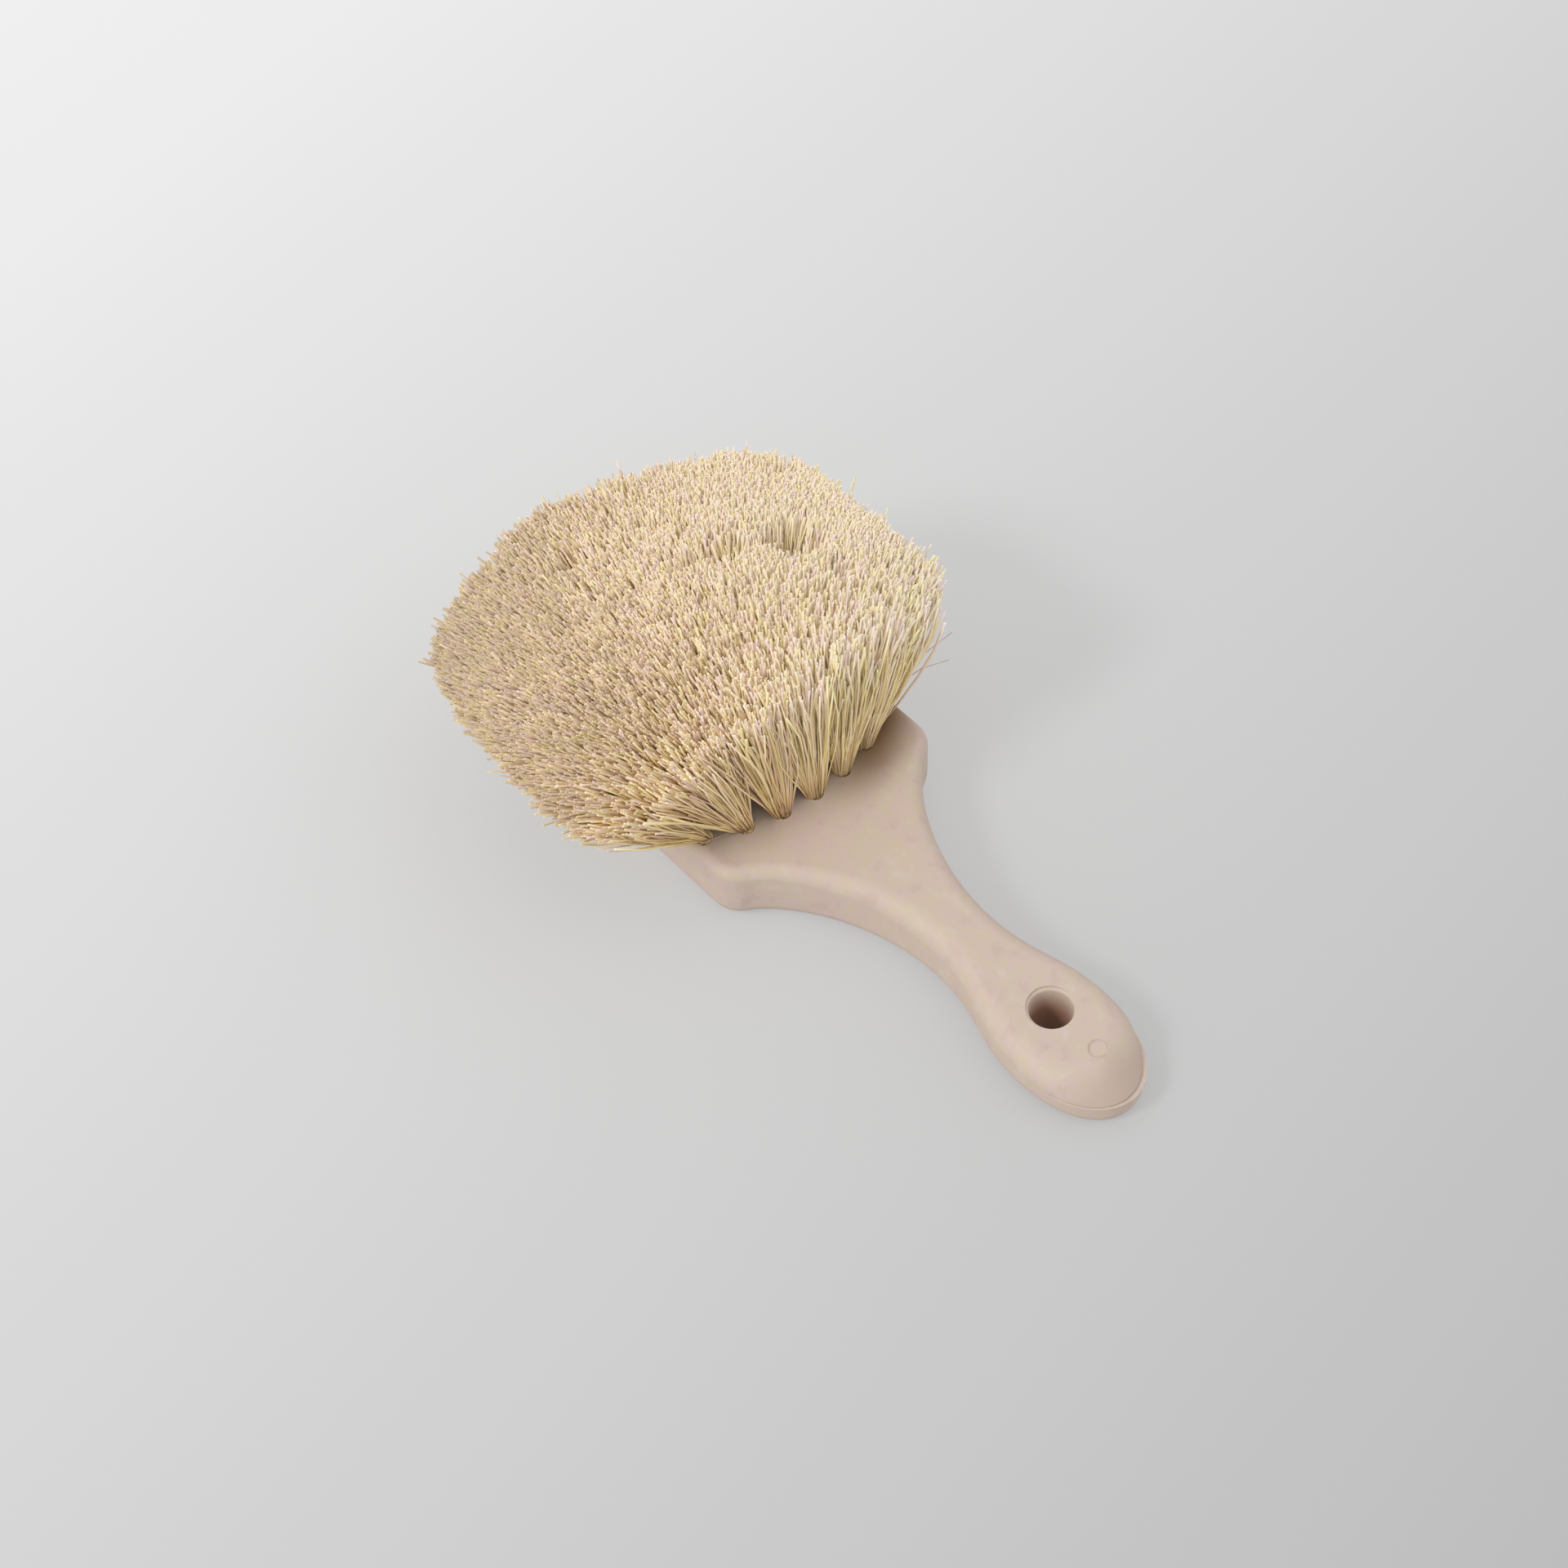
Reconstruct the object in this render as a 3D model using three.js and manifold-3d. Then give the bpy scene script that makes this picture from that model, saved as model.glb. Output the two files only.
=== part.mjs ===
// A short-handled pot brush lying on its flat back with its bristles up. A moulded block has rows of
// drilled holes in its face. Each hole takes a tuft of fibre, folded round a flat wire anchor.
// Millimetres. The origin is the middle of the head's back, +X runs to the handle's end, +Z is up.

import * as THREE from 'three';
import { mergeGeometries, mergeVertices } from 'three/addons/utils/BufferGeometryUtils.js';
import Module from 'manifold-3d';

const wasm = await Module();
wasm.setup();

// Gap kept between pieces that touch
const clearance = 0.3;

// Head
const overallLength = 203;
const headLength = 80;
const headWidth = 76;
const headThickness = 20.4;
const headEdgeRadius = 3.4;
const farRoundLength = 20;
const farRoundFullness = 0.8;

// Shoulder, neck and handle
const shoulderRadius = 9.5;
const shoulderTurn = THREE.MathUtils.degToRad(61);
const shoulderPull = 9.8;
const neckDistance = 58;
const neckWidth = 19;
const neckPull = 25;
const swellPull = 0.45;
const endWidth = 33.5;
const endRoundLength = 24.2;
const endThickness = 15.2;
const taperFromEnd = 9;
const handleEdgeRadius = 5.8;
const backEdgeRadius = 5.8;
const endBackRadius = 3.6;

// Parting line round the block, half way up
const partingReach = 0.35;
const partingHalfHeight = 0.6;

// Hanging hole and the round mould mark beyond it
const hangDiameter = 12;
const hangFromEnd = 30.5;
const hangRimRadius = 1;
const markDiameter = 5.3;
const markWidth = 0.6;
const markDepth = 0.3;
const markFromEnd = 13.5;
const markOffset = 1;

// Tuft holes: staggered rows, bowed out to both ends of the head, drilled in a fan
const rowCount = 8;
const frontRowTufts = 7;
const sideMargin = 8;
const frontMargin = 1;
const farMargin = 8;
const rowSagitta = 8.5;
const holeDiameter = 5.6;
const holeDepth = 12;
const holeFan = 0.01;

// Slices of the face that carry the fibre
const rowsPerSlice = 2;
const sliceThickness = 2.5;
const sliceMargin = 0.8;
const faceRim = 0.8;

// Flat wire anchor in the fold of each tuft
const anchorLength = 7;
const anchorThickness = 0.5;
const anchorHeight = 2;
const foldThickness = 1.2;

// Fibre: strands stand straight at one point of the face and lean away from it everywhere else
const strandsRound = 8;
const strandLength = 50;
const strandRadius = 0.65;
const strandTipRadius = 0.45;
const strandSink = 0.8;
const straightX = 38;
const straightY = 11;
const leanX = 0.0063;
const leanY = 0.0267;
const strandSides = 3;

// Facets
const outlineSteps = 9;
const edgeSteps = 3;
const stripSteps = 8;
const hangSides = 24;
const holeSides = 6;
const rootSides = 4;

// How far a cutter runs past the face that it cuts
const cutOver = 1;

// Places that follow from the sizes
const frontX = headLength / 2;
const farX = -headLength / 2;
const endX = overallLength - headLength / 2;
const neckX = frontX + neckDistance;
const widestX = endX - endRoundLength;
const taperX = frontX + neckDistance / 2;
const taperEndX = endX - taperFromEnd;
const hangX = endX - hangFromEnd;
const markX = endX - markFromEnd;
const frontRowX = frontX - frontMargin;
const rowPitch = (frontRowX - farX - farMargin) / (rowCount - 1);
const rowHalfWidth = headWidth / 2 - sideMargin;
const tuftPitch = 2 * rowHalfWidth / (frontRowTufts - 1);
const holeRadius = holeDiameter / 2;
const rootRadius = holeRadius * Math.cos(Math.PI / holeSides) - clearance;
const rootBottom = clearance - holeDepth;
const anchorZ = rootBottom + foldThickness + clearance + anchorHeight / 2;
const sliceHalfWidth = headWidth / 2 - headEdgeRadius - faceRim - clearance;
const strandCircle = holeRadius - strandRadius - clearance;

// Tufts open out until their tips reach half way to the nearest neighbour, in the next row at its end
const tipStepX = (rowPitch - 2 * rowSagitta / (rowCount - 1)) * (1 + leanX * strandLength);
const tipStepY = tuftPitch / 2 * (1 + leanY * strandLength);
const tipCircle = Math.hypot(tipStepX, tipStepY) / 2 - strandRadius - clearance;
const strandSpread = (tipCircle / strandCircle - 1) / strandLength;

const plastic = { color: 0xcbb7aa, roughness: 0.6, metalness: 0 };
const fibre = { color: 0xd9c59c, roughness: 0.85, metalness: 0 };
const wire = { color: 0xb4b7ba, roughness: 0.4, metalness: 0.9 };
const up = new THREE.Vector3(0, 0, 1);

function solid(geometry) {
  geometry.deleteAttribute('normal');
  geometry.deleteAttribute('uv');
  const merged = mergeVertices(geometry);
  return new wasm.Manifold(new wasm.Mesh({
    numProp: 3,
    vertProperties: new Float32Array(merged.attributes.position.array),
    triVerts: new Uint32Array(merged.index.array),
  }));
}

function geometryOf(body) {
  const mesh = body.getMesh();
  const geometry = new THREE.BufferGeometry();
  geometry.setAttribute('position', new THREE.BufferAttribute(mesh.vertProperties, 3));
  geometry.setIndex(new THREE.BufferAttribute(mesh.triVerts, 1));
  geometry.computeVertexNormals();
  return geometry;
}

function named(name, geometry, look) {
  const mesh = new THREE.Mesh(geometry, new THREE.MeshStandardMaterial(look));
  mesh.name = name;
  return mesh;
}

// A size that changes smoothly from one value to another between two places along the block
function eased(x, startX, finishX, start, finish) {
  return THREE.MathUtils.lerp(start, finish, THREE.MathUtils.smoothstep(x, startX, finishX));
}

function thicknessAt(x) {
  return eased(x, taperX, taperEndX, headThickness, endThickness);
}

// One side of the block from the middle of its far edge to the handle's end
function sidePath() {
  const side = headWidth / 2;
  const path = new THREE.Path();
  path.moveTo(farX, 0);
  path.bezierCurveTo(
    farX, farRoundFullness * side,
    farX + (1 - farRoundFullness) * farRoundLength, side,
    farX + farRoundLength, side);
  path.lineTo(frontX, side);
  const quarter = Math.PI / 2;
  path.absarc(frontX, side - shoulderRadius, shoulderRadius, quarter, quarter - shoulderTurn, true);
  const corner = path.currentPoint;
  path.bezierCurveTo(
    corner.x + shoulderPull * Math.cos(shoulderTurn), corner.y - shoulderPull * Math.sin(shoulderTurn),
    neckX - neckPull, neckWidth / 2,
    neckX, neckWidth / 2);
  const pull = swellPull * (widestX - neckX);
  path.bezierCurveTo(neckX + pull, neckWidth / 2, widestX - pull, endWidth / 2, widestX, endWidth / 2);
  path.absellipse(widestX, 0, endRoundLength, endWidth / 2, quarter, 0, true);
  return path;
}

// The path's points, each with the direction into the block
function sidePoints() {
  const points = [];
  for (const curve of sidePath().curves) {
    const steps = curve.isLineCurve ? 1 : outlineSteps;
    points.push(...curve.getPoints(steps).slice(points.length ? 1 : 0));
  }
  const last = points.length - 1;
  return points.map((point, i) => {
    const inward = new THREE.Vector2(i ? -1 : 1, 0);
    if (i > 0 && i < last) {
      const along = points[i + 1].clone().sub(points[i - 1]);
      inward.set(along.y, -along.x).normalize();
    }
    return { point, inward };
  });
}

// Rings of the edge from the back up to the face, each with its inset and its height at a place
function edgeRings() {
  const rings = [];
  for (let i = 0; i <= edgeSteps; i += 1) {
    const angle = Math.PI / 2 * (1 - i / edgeSteps);
    rings.push((x) => {
      const radius = eased(x, widestX, endX, backEdgeRadius, endBackRadius);
      return [radius * (1 - Math.cos(angle)), radius * (1 - Math.sin(angle))];
    });
  }
  rings.push(x => [0, thicknessAt(x) / 2 - partingHalfHeight]);
  rings.push(x => [-partingReach, thicknessAt(x) / 2]);
  rings.push(x => [0, thicknessAt(x) / 2 + partingHalfHeight]);
  for (let i = 0; i <= edgeSteps; i += 1) {
    const angle = Math.PI / 2 * i / edgeSteps;
    rings.push((x) => {
      const radius = eased(x, frontX, neckX, headEdgeRadius, handleEdgeRadius);
      return [radius * (1 - Math.cos(angle)), thicknessAt(x) - radius * (1 - Math.sin(angle))];
    });
  }
  return rings;
}

// The block before drilling: rings of its outline, stacked and joined, with a back and a face
function mouldedBlock() {
  const half = sidePoints();
  const mirrored = half.slice(1, -1).reverse().map(({ point, inward }) => ({
    point: new THREE.Vector2(point.x, -point.y),
    inward: new THREE.Vector2(inward.x, -inward.y),
  }));
  const loop = [...half, ...mirrored];
  const count = loop.length;
  const rings = edgeRings();
  const position = [];
  const index = [];
  for (const ring of rings) {
    for (const { point, inward } of loop) {
      const [inset, height] = ring(point.x);
      position.push(point.x + inset * inward.x, point.y + inset * inward.y, height);
    }
  }
  for (let r = 0; r < rings.length - 1; r += 1) {
    for (let i = 0; i < count; i += 1) {
      const a = r * count + i;
      const b = r * count + (i + 1) % count;
      index.push(a, b + count, b, a, a + count, b + count);
    }
  }
  const face = (rings.length - 1) * count;
  for (let i = 0; i < half.length - 1; i += 1) {
    const [near, next] = [i, i + 1];
    const [nearAcross, nextAcross] = [(count - i) % count, count - i - 1];
    if (near !== nearAcross) {
      index.push(face + near, face + nearAcross, face + nextAcross, near, nextAcross, nearAcross);
    }
    if (next !== nextAcross) {
      index.push(face + near, face + nextAcross, face + next, near, next, nextAcross);
    }
  }
  const geometry = new THREE.BufferGeometry();
  geometry.setAttribute('position', new THREE.Float32BufferAttribute(position, 3));
  geometry.setIndex(index);
  return geometry;
}

// A profile of radius and height, turned about a standing axis
function turned(profile, sides, x, y) {
  const geometry = new THREE.LatheGeometry(profile.map(([r, z]) => new THREE.Vector2(r, z)), sides);
  return geometry.rotateX(Math.PI / 2).translate(x, y, 0);
}

function hangingHole() {
  const radius = hangDiameter / 2;
  const rim = radius + hangRimRadius;
  const top = thicknessAt(hangX);
  return turned([
    [0, -cutOver], [rim, -cutOver], [rim, 0], [radius, hangRimRadius],
    [radius, top - hangRimRadius], [rim, top], [rim, top + cutOver], [0, top + cutOver],
  ], hangSides, hangX, 0);
}

function mouldMark() {
  const inner = (markDiameter - markWidth) / 2;
  const outer = (markDiameter + markWidth) / 2;
  const top = thicknessAt(markX);
  const floor = top - markDepth;
  return turned([
    [inner, floor], [outer, floor], [outer, top + cutOver], [inner, top + cutOver], [inner, floor],
  ], hangSides, markX, markOffset);
}

// A row is bowed: its ends trail towards the middle of the head. Rows may be fractions.
function rowX(row, y) {
  const bow = rowSagitta * (1 - 2 * row / (rowCount - 1));
  return frontRowX - row * rowPitch - bow * (y / rowHalfWidth) ** 2;
}

function tuftPlaces() {
  const places = [];
  for (let row = 0; row < rowCount; row += 1) {
    const count = frontRowTufts - row % 2;
    for (let i = 0; i < count; i += 1) {
      const y = (i - (count - 1) / 2) * tuftPitch;
      const x = rowX(row, y);
      const axis = new THREE.Vector3(holeFan * x, holeFan * y, 1).normalize();
      const turn = new THREE.Quaternion().setFromUnitVectors(up, axis);
      const mouth = new THREE.Vector3(x, y, headThickness);
      places.push({ row, x, y, mouth, turn });
    }
  }
  return places;
}

function drilled(geometry, place) {
  return geometry.applyQuaternion(place.turn).translate(...place.mouth);
}

// A peg down a tuft hole, between two depths below its mouth, with a flat side towards +X
function peg(radius, sides, bottom, top) {
  const geometry = new THREE.CylinderGeometry(radius, radius, top - bottom, sides);
  geometry.rotateX(Math.PI / 2).rotateZ(Math.PI / 2 + Math.PI / sides);
  return geometry.translate(0, 0, (top + bottom) / 2);
}

function anchorSlot(length) {
  const width = anchorThickness + 2 * clearance;
  return new THREE.BoxGeometry(length, width, anchorHeight + 2 * clearance).translate(0, 0, anchorZ);
}

// Part of the face between two bowed lines across it, from a depth below it up to a height over it
function faceStrip(front, far, halfWidth, below, over) {
  const shape = new THREE.Shape();
  const middle = x => 2 * x(0) - x(halfWidth);
  shape.moveTo(far(halfWidth), -halfWidth);
  shape.lineTo(front(halfWidth), -halfWidth);
  shape.quadraticCurveTo(middle(front), 0, front(halfWidth), halfWidth);
  shape.lineTo(far(halfWidth), halfWidth);
  shape.quadraticCurveTo(middle(far), 0, far(halfWidth), -halfWidth);
  const options = { depth: below + over, bevelEnabled: false, curveSegments: stripSteps };
  return new THREE.ExtrudeGeometry(shape, options).translate(0, 0, headThickness - below);
}

function frontEdge(y) {
  return rowX(0, y) + holeRadius + sliceMargin;
}

function farEdge(y) {
  return rowX(rowCount - 1, y) - holeRadius - sliceMargin;
}

function block(places) {
  let body = solid(mouldedBlock());
  body = body.subtract(solid(hangingHole()));
  body = body.subtract(solid(mouldMark()));
  const recess = faceStrip(
    y => frontEdge(y) + clearance, y => farEdge(y) - clearance,
    sliceHalfWidth + clearance, sliceThickness + clearance, cutOver);
  body = body.subtract(solid(recess));
  for (const place of places) {
    const hole = solid(drilled(peg(holeRadius, holeSides, -holeDepth, -sliceThickness / 2), place));
    const slot = solid(drilled(anchorSlot(anchorLength + 2 * clearance), place));
    body = body.subtract(hole.add(slot));
  }
  return geometryOf(body);
}

// A strand through points, three-sided and tapering, with level rings and both ends closed
function strand(points) {
  const position = [];
  const index = [];
  const { z: foot } = points.at(0);
  const { z: tip } = points.at(-1);
  for (const point of points) {
    const radius = THREE.MathUtils.mapLinear(point.z, foot, tip, strandRadius, strandTipRadius);
    for (let s = 0; s < strandSides; s += 1) {
      const angle = 2 * Math.PI * s / strandSides;
      position.push(point.x + radius * Math.cos(angle), point.y + radius * Math.sin(angle), point.z);
    }
  }
  const last = position.length / 3 - strandSides;
  for (let a = 0; a < last; a += 1) {
    const b = a % strandSides === strandSides - 1 ? a + 1 - strandSides : a + 1;
    index.push(a, b, b + strandSides, a, b + strandSides, a + strandSides);
  }
  for (let s = 1; s < strandSides - 1; s += 1) {
    index.push(0, s + 1, s, last, last + s, last + s + 1);
  }
  const geometry = new THREE.BufferGeometry();
  geometry.setAttribute('position', new THREE.Float32BufferAttribute(position, 3));
  geometry.setIndex(index);
  return geometry;
}

// A strand leaves its hole at an offset from the tuft's middle and leans out with it
function strandAt(place, dx, dy) {
  const slopeX = leanX * (place.x - straightX) + strandSpread * dx;
  const slopeY = leanY * (place.y - straightY) + strandSpread * dy;
  const root = new THREE.Vector3(place.x + dx, place.y + dy, headThickness);
  const foot = root.clone().setZ(headThickness - strandSink);
  const reach = new THREE.Vector3(slopeX, slopeY, 1).setLength(strandLength);
  return strand([foot, root, root.clone().add(reach)]);
}

function tuftStrands(place) {
  const strands = [strandAt(place, 0, 0)];
  for (let i = 0; i < strandsRound; i += 1) {
    const angle = 2 * Math.PI * i / strandsRound;
    strands.push(strandAt(place, strandCircle * Math.cos(angle), strandCircle * Math.sin(angle)));
  }
  return strands;
}

// The folded root of a tuft, with an eye for its anchor
function tuftRoot(place) {
  const root = solid(drilled(peg(rootRadius, rootSides, rootBottom, -sliceThickness / 2), place));
  return root.subtract(solid(drilled(anchorSlot(holeDiameter), place)));
}

// Rows of tufts on their slice of the face
function tuftRows(places, firstRow) {
  const lastRow = firstRow + rowsPerSlice - 1;
  const front = firstRow === 0 ? frontEdge : y => rowX(firstRow - 0.5, y) - clearance / 2;
  const far = lastRow === rowCount - 1 ? farEdge : y => rowX(lastRow + 0.5, y) + clearance / 2;
  let body = solid(faceStrip(front, far, sliceHalfWidth, sliceThickness, 0));
  const strands = [];
  for (const place of places.filter(({ row }) => row >= firstRow && row <= lastRow)) {
    body = body.add(tuftRoot(place));
    strands.push(...tuftStrands(place));
  }
  return geometryOf(body.add(solid(mergeGeometries(strands))));
}

const brush = new THREE.Group();
const places = tuftPlaces();
brush.add(named('block', block(places), plastic));

for (let row = 0; row < rowCount; row += rowsPerSlice) {
  const name = `tufts_rows_${row + 1}_to_${row + rowsPerSlice}`;
  brush.add(named(name, tuftRows(places, row), fibre));
}

const anchors = new THREE.Group();
places.forEach((place, i) => {
  const tuft = new THREE.Group();
  tuft.position.copy(place.mouth);
  tuft.quaternion.copy(place.turn);
  const geometry = new THREE.BoxGeometry(anchorLength, anchorThickness, anchorHeight);
  const anchor = named(`anchor_${String(i + 1).padStart(2, '0')}`, geometry, wire);
  anchor.position.z = anchorZ;
  tuft.add(anchor);
  anchors.add(tuft);
});
brush.add(anchors);

export default brush;
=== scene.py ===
import math

import bmesh
import bpy
import numpy as np
from mathutils import Matrix, Vector


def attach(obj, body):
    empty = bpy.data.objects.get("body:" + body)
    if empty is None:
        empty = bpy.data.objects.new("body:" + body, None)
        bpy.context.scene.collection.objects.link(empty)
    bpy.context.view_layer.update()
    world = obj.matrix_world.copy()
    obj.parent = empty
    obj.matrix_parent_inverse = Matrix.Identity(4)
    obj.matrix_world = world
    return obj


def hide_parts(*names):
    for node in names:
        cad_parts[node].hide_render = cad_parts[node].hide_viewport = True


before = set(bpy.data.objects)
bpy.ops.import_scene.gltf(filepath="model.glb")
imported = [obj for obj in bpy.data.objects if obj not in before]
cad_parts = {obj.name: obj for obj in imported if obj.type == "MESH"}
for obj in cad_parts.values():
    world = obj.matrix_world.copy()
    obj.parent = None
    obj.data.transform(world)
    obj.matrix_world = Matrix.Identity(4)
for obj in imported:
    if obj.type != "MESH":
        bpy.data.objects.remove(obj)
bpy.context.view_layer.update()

# Sizes are in millimetres, and MM takes them to metres. X runs from the head to the handle's end, Z up.
MM = 0.001
rng = np.random.default_rng(7)

# Outline of the block, and the steps along each part of it
HEAD_LENGTH, HEAD_WIDTH, OVERALL = 80.0, 76.0, 203.0
FAR_X, FRONT_X, END_X = -HEAD_LENGTH / 2, HEAD_LENGTH / 2, OVERALL - HEAD_LENGTH / 2
FAR_CURVE, FAR_PULL, FAR_SIDE_PULL = 20.0, 0.8, 4.0
SHOULDER_R, SHOULDER_TURN, SHOULDER_PULL = 9.5, math.radians(61), 9.8
NECK_DISTANCE, NECK_W, NECK_PULL, SWELL = 58.0, 19.0, 25.0, 0.45
END_W, END_ROUND = 33.5, 24.2
NECK_X, WIDEST_X = FRONT_X + NECK_DISTANCE, END_X - END_ROUND
FAR_STEPS, SIDE_STEPS, SHOULDER_STEPS, NECK_STEPS, SWELL_STEPS, END_STEPS = 40, 30, 20, 60, 40, 50

# Thickness of the block
HEAD_T, END_T = 20.4, 15.2
TAPER_SPAN = (FRONT_X + NECK_DISTANCE / 2, END_X - 9.0)

# Rounded edges of the face and the back, and where along X each of them changes. END_EDGE with RIM_SHARE of
# the lip stays under the outline's radius at the handle's end, or the face would fold there.
HEAD_EDGE, HANDLE_EDGE, END_EDGE, END_RISE = 3.6, 5.8, 10.0, 1.1
EDGE_SPAN, END_EDGE_SPAN, RISE_SPAN = (FRONT_X, NECK_X), (WIDEST_X - 12.0, END_X), (WIDEST_X - 5.0, END_X)
CONE, CONE_SPAN = 0.75, (END_X - 16.0, END_X - 4.0)
BACK_EDGE, END_BACK, BACK_SPAN = 5.8, 3.6, (WIDEST_X, END_X)
BACK_RINGS, FACE_RINGS, ACROSS = 9, 12, 12

# Ledge at the parting line: its lip along X and Y, then the inset of each ring as a share of the lip,
# and the ring's height from the middle of the wall
LIP, LIP_LEAST, LIP_SPAN = 2.2, 0.1, (END_X - 20.0, END_X - 6.0)
LIP_AWAY, LIP_SIDE = 0.12, (-10.0, 5.0)
LEDGE = ((0.0, -0.9), (-0.22, -0.45), (-0.22, -0.1), (0.1, 0.06),
         (0.4, 0.1), (0.66, 0.16), (0.66, 0.32), (0.44, 0.52))
RIM_SHARE = LEDGE[-1][0]

# Hanging hole, which narrows towards the back, and the mould mark
HANG_X, HANG_R, HANG_RIM, HANG_DRAFT = END_X - 30.5, 6.0, 0.9, 2.0
HANG_OVER, HANG_RIM_STEPS, HANG_SIDES = 2.0, 8, 96
MARK_X, MARK_Y, MARK_R, MARK_GROOVE, MARK_LIFT = END_X - 13.5, 1.0, 2.65, 0.4, 0.02
MARK_STEPS, MARK_SIDES = 17, 64
SHARP_ANGLE, FACE_WEIGHT = math.radians(40), 90

# Tufts stand in rows that bow out to both ends of the head. The mouths of their holes are moved a little.
ROWS, FRONT_TUFTS, ROWS_IN_PIECE = 8, 7, 2
FRONT_ROW_X, FAR_ROW_X, ROW_HALF, SAGITTA = FRONT_X - 1.0, FAR_X + 8.0, HEAD_WIDTH / 2 - 8.0, 8.5
HOLE_R, HOLE_DEPTH, HOLE_FAN, HOLE_OVER, HOLE_SIDES = 2.4, 12.0, 0.01, 1.5, 20
MOUTH_X, MOUTH_Y, MOUTH_SPREAD = 0.8, -0.9, 1.08


def srgb(r, g, b):
    """Colour of a shader socket, from levels of 255."""
    def one(v):
        v /= 255.0
        return v / 12.92 if v <= 0.04045 else ((v + 0.055) / 1.055) ** 2.4
    return (one(r), one(g), one(b), 1.0)


def mesh_object(name, verts, faces, smooth=True):
    mesh = bpy.data.meshes.new(name)
    mesh.from_pydata([tuple(v) for v in verts], [], [tuple(f) for f in faces])
    mesh.update()
    obj = bpy.data.objects.new(name, mesh)
    bpy.context.scene.collection.objects.link(obj)
    if smooth:
        mesh.polygons.foreach_set("use_smooth", [True] * len(mesh.polygons))
    return obj


def bezier(points, t):
    """Places on a cubic curve, at the shares t of the way from the first of its points to the last."""
    p0, p1, p2, p3 = points
    return (1 - t) ** 3 * p0 + 3 * (1 - t) ** 2 * t * p1 + 3 * (1 - t) * t * t * p2 + t ** 3 * p3


def eased(x, span, start, finish):
    """A value that goes smoothly from start to finish while x crosses the span."""
    t = np.clip((np.asarray(x, float) - span[0]) / (span[1] - span[0]), 0, 1)
    return start + (finish - start) * t * t * (3 - 2 * t)


# Block


def outline_curve(count, *points):
    return bezier([np.asarray(p, float) for p in points], np.linspace(0, 1, count)[:, None])


def half_outline():
    """The block's outline on the side of +Y, from the middle of its far end to the handle's end."""
    side, neck_side, end_side = HEAD_WIDTH / 2, NECK_W / 2, END_W / 2
    straight_x = FAR_X + FAR_CURVE
    far = outline_curve(FAR_STEPS, (FAR_X, 0), (FAR_X, FAR_PULL * side), (FAR_X + FAR_SIDE_PULL, side),
                        (straight_x, side))
    straight = np.c_[np.linspace(straight_x, FRONT_X, SIDE_STEPS), np.full(SIDE_STEPS, side)]
    a = np.linspace(0, SHOULDER_TURN, SHOULDER_STEPS)
    shoulder = np.c_[FRONT_X + SHOULDER_R * np.sin(a), side - SHOULDER_R + SHOULDER_R * np.cos(a)]
    corner = shoulder[-1]
    pull = np.array([math.cos(SHOULDER_TURN), -math.sin(SHOULDER_TURN)]) * SHOULDER_PULL
    neck = outline_curve(NECK_STEPS, corner, corner + pull, (NECK_X - NECK_PULL, neck_side),
                         (NECK_X, neck_side))
    reach = SWELL * (WIDEST_X - NECK_X)
    swell = outline_curve(SWELL_STEPS, (NECK_X, neck_side), (NECK_X + reach, neck_side),
                          (WIDEST_X - reach, end_side), (WIDEST_X, end_side))
    a = np.linspace(0, math.pi / 2, END_STEPS)
    end = np.c_[WIDEST_X + END_ROUND * np.sin(a), end_side * np.cos(a)]
    end[-1, 1] = 0.0
    return np.vstack([far] + [part[1:] for part in (straight, shoulder, neck, swell, end)])


def thickness(x):
    return eased(x, TAPER_SPAN, HEAD_T, END_T)


def edge_rings(x, y):
    """Inset and height of each ring round the block, from its back up to its face."""
    t = thickness(x)
    back = eased(x, BACK_SPAN, BACK_EDGE, END_BACK)
    edge = eased(x, EDGE_SPAN, HEAD_EDGE, HANDLE_EDGE)
    tall = edge + eased(x, RISE_SPAN, 0, END_RISE)
    wide = edge + eased(x, END_EDGE_SPAN, 0, END_EDGE - HANDLE_EDGE)
    lip = eased(x, LIP_SPAN, LIP_LEAST, LIP) * eased(y, LIP_SIDE, LIP_AWAY, 1)
    cone = eased(x, CONE_SPAN, 0, CONE)
    rings = []
    for a in np.linspace(math.pi / 2, 0, BACK_RINGS):
        rings.append((back * (1 - math.cos(a)), back * (1 - math.sin(a))))
    rings += [(share * lip, t / 2 + rise) for share, rise in LEDGE]
    for s in np.linspace(0, 1, FACE_RINGS):
        a = s * math.pi / 2
        inward = cone * s + (1 - cone) * (1 - math.cos(a))
        down = cone * (1 - s) + (1 - cone) * (1 - math.sin(a))
        rings.append((RIM_SHARE * lip + wide * inward, t - tall * down))
    return rings


def close_across(verts, faces, half_count, count, base, faces_up):
    """Closes the ring of points that starts at base, by strips between the block's two sides."""
    rows = []
    for i in range(half_count):
        left, right = base + i, base + (count - i) % count
        if left == right:
            rows.append([left] * (ACROSS + 1))
            continue
        a, b = np.array(verts[left]), np.array(verts[right])
        row = [left]
        for j in range(1, ACROSS):
            row.append(len(verts))
            verts.append(a + (b - a) * j / ACROSS)
        row.append(right)
        rows.append(row)
    for row, following in zip(rows, rows[1:]):
        for j in range(ACROSS):
            corners = list(dict.fromkeys([row[j], row[j + 1], following[j + 1], following[j]]))
            if len(corners) > 2:
                faces.append(tuple(corners if faces_up else corners[::-1]))


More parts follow.
